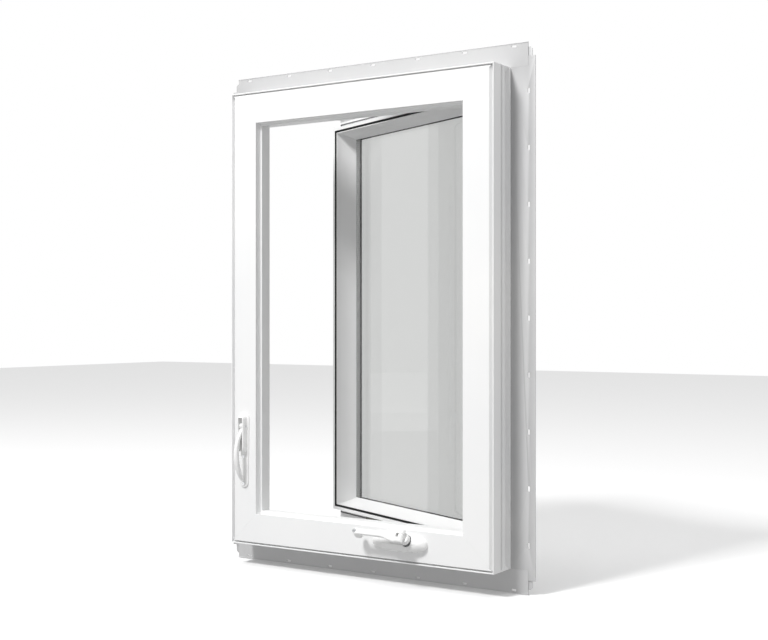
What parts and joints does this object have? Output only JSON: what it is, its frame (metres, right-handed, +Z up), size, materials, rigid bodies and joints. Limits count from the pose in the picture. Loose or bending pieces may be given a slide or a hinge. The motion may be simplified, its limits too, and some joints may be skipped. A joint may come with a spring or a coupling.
{
  "type": "casement window",
  "caption": "Crank-operated casement window: finned vinyl frame, outward-opening glazed sash on sliding-shoe hinges, folding crank and side lock lever.",
  "frame": {"origin": "middle of the nail-slot pattern, on the nailing fins' room-side plane", "axes": "+X along the sill towards the hinge side, +Y outdoors, +Z up"},
  "size_m": [0.6952, 0.3547, 0.988],
  "materials": {
    "white_vinyl": "satin extruded vinyl",
    "white_hardware": "semi-gloss painted die casting",
    "glass": "clear insulating glass",
    "spacer": "dull aluminium spacer",
    "seal": "matt black rubber",
    "grey_seal": "matt grey rubber",
    "block_rubber": "matt neoprene",
    "steel": "stainless steel strip",
    "dark_steel": "coated steel",
    "zinc": "zinc-plated",
    "nylon": "white nylon"
  },
  "bodies": {
    "frame": {"frame_head": "white_vinyl", "frame_sill": "white_vinyl", "frame_jamb_lock": "white_vinyl", "frame_jamb_hinge": "white_vinyl", "fin_head": "white_vinyl", "fin_sill": "white_vinyl", "fin_lock_side": "white_vinyl", "fin_hinge_side": "white_vinyl", "fin_corner_gussets": "white_vinyl", "frame_weatherstrip": "grey_seal", "hinge_tracks": "steel", "hinge_track_screws": "zinc", "operator_housing": "zinc", "operator_cover": "white_hardware", "operator_screws": "zinc", "arm_axle": "steel", "lock_escutcheon": "white_hardware", "lock_screws": "steel", "lock_lever_pin": "steel", "tie_bar_guides": "nylon"},
    "support_arms": {"support_arms": "steel"},
    "sash": {"sash_top_rail": "white_vinyl", "sash_bottom_rail": "white_vinyl", "sash_lock_stile": "white_vinyl", "sash_hinge_stile": "white_vinyl", "bead_top": "white_vinyl", "bead_bottom": "white_vinyl", "bead_lock_side": "white_vinyl", "bead_hinge_side": "white_vinyl", "pane_inner": "glass", "pane_outer": "glass", "glass_spacer": "spacer", "glazing_seal": "seal", "setting_blocks": "block_rubber", "drip_flap_top": "white_vinyl", "drip_flap_bottom": "white_vinyl", "sash_weatherstrip": "grey_seal", "roller_track": "dark_steel", "lock_keepers": "zinc", "support_arm_rivets": "zinc", "sash_hinge_arms": "steel", "hinge_arm_pads": "zinc"},
    "hinge_shoes": {"hinge_shoes": "zinc"},
    "operator_arm": {"operator_arm": "dark_steel", "arm_gear": "zinc"},
    "arm_roller": {"arm_roller": "nylon"},
    "crank_shaft": {"worm_shaft": "steel", "crank_hub": "white_hardware", "crank_setscrew": "steel", "crank_fold_pin": "steel"},
    "crank_arm": {"crank_arm": "white_hardware", "crank_knob_pin": "steel"},
    "crank_knob": {"crank_knob": "white_hardware"},
    "lock_lever": {"lock_lever": "white_hardware"},
    "tie_bar": {"tie_bar": "steel", "tie_bar_rollers": "zinc", "tie_bar_fork": "zinc"}
  },
  "joints": [
    {"name": "support_arm_swing", "type": "hinge", "parent": "frame", "child": "support_arms", "pos_m": [0.168, -0.016, 0], "axis": [0, 0, -1], "range_deg": [-38.5, 24.5]},
    {"name": "sash_swing", "type": "hinge", "parent": "support_arms", "child": "sash", "pos_m": [0.20637, 0.00108, 0], "axis": [0, 0, -1], "range_deg": [-48, 76]},
    {"name": "hinge_shoe_turn", "type": "hinge", "parent": "sash", "child": "hinge_shoes", "pos_m": [0.24474, -0.016, 0], "axis": [0, 0, -1], "range_deg": [-38.5, 24.5]},
    {"name": "operator_arm_swing", "type": "hinge", "parent": "frame", "child": "operator_arm", "pos_m": [0.081, -0.016, 0], "axis": [0, 0, -1], "range_deg": [-61, 96.2]},
    {"name": "arm_roller_spin", "type": "hinge", "parent": "operator_arm", "child": "arm_roller", "pos_m": [0.02586, 0.08114, 0], "axis": [0, 0, 1], "continuous": true},
    {"name": "crank_turn", "type": "hinge", "parent": "frame", "child": "crank_shaft", "pos_m": [0.125, -0.065, -0.41322], "axis": [0, -0.8572, 0.515], "range_deg": [-906.8, 1435.5]},
    {"name": "crank_fold", "type": "hinge", "parent": "crank_shaft", "child": "crank_arm", "pos_m": [0.125, -0.09586, -0.39467], "axis": [0, 0.515, 0.8572], "range_deg": [0, 165]},
    {"name": "crank_knob_spin", "type": "hinge", "parent": "crank_arm", "child": "crank_knob", "pos_m": [0.025, -0.09586, -0.39467], "axis": [0, -0.8572, 0.515], "continuous": true},
    {"name": "lock_lever_swing", "type": "hinge", "parent": "frame", "child": "lock_lever", "pos_m": [-0.264, -0.072, -0.215], "axis": [-1, 0, 0], "range_deg": [0, 110]},
    {"name": "tie_bar_slide", "type": "slide", "parent": "frame", "child": "tie_bar", "axis": [0, 0, 1], "range_m": [-0.024, 0.001]}
  ],
  "couplings": [
    {"joint": "support_arm_swing", "follows": "sash_swing", "ratio": -0.5},
    {"joint": "hinge_shoe_turn", "follows": "sash_swing", "ratio": -0.5},
    {"joint": "operator_arm_swing", "follows": "sash_swing", "ratio": 1.2588},
    {"joint": "crank_turn", "follows": "sash_swing", "ratio": 18.881},
    {"joint": "tie_bar_slide", "follows": "lock_lever_swing", "m_per_rad": -0.011459}
  ]
}
